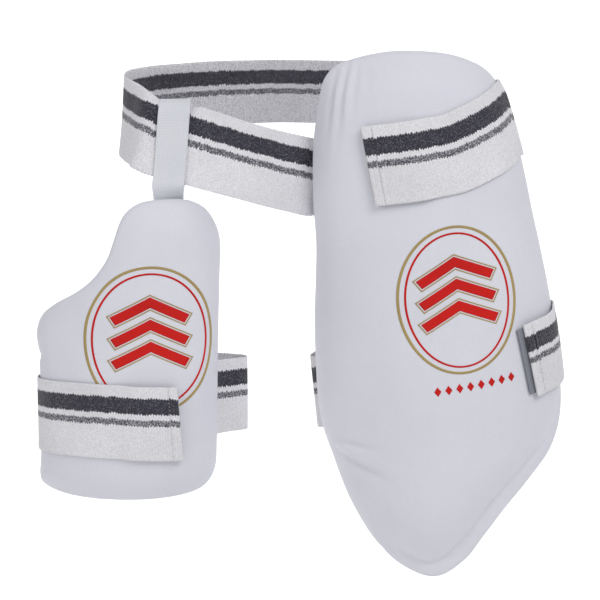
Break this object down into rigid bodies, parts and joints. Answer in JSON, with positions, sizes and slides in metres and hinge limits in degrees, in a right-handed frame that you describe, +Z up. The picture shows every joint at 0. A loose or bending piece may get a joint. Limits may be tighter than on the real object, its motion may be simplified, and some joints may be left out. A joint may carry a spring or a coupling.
{
  "type": "cricket thigh guard",
  "caption": "Padded outer and inner thigh guards hung from a striped knitted elastic waist strap, with elastic leg straps closed by hook tape.",
  "frame": {"origin": "middle of the waist loop, where the wearer's waist passes through", "axes": "+Z up along the wearer, +Y towards the wearer's back, +X to the right as the guard is looked at from in front"},
  "size_m": [0.4434, 0.1603, 0.4478],
  "materials": {
    "cover": "smooth white stretch cover over foam",
    "elastic": "ribbed white knitted elastic with dark and light grey stripes",
    "webbing": "fine plain weave",
    "hook_tape": "short stiff hooks",
    "thread": "spun thread",
    "print_red": "satin transfer print",
    "print_gold": "satin metallic transfer print"
  },
  "bodies": {
    "root": {"outer_pad": "cover", "inner_pad": "cover", "waist_strap": "elastic", "outer_leg_strap": "elastic", "inner_leg_strap": "elastic", "hanger_loop": "webbing", "waist_hook_patch": "hook_tape", "outer_leg_hook_patch": "hook_tape", "inner_leg_hook_patch": "hook_tape"}
  },
  "joints": []
}
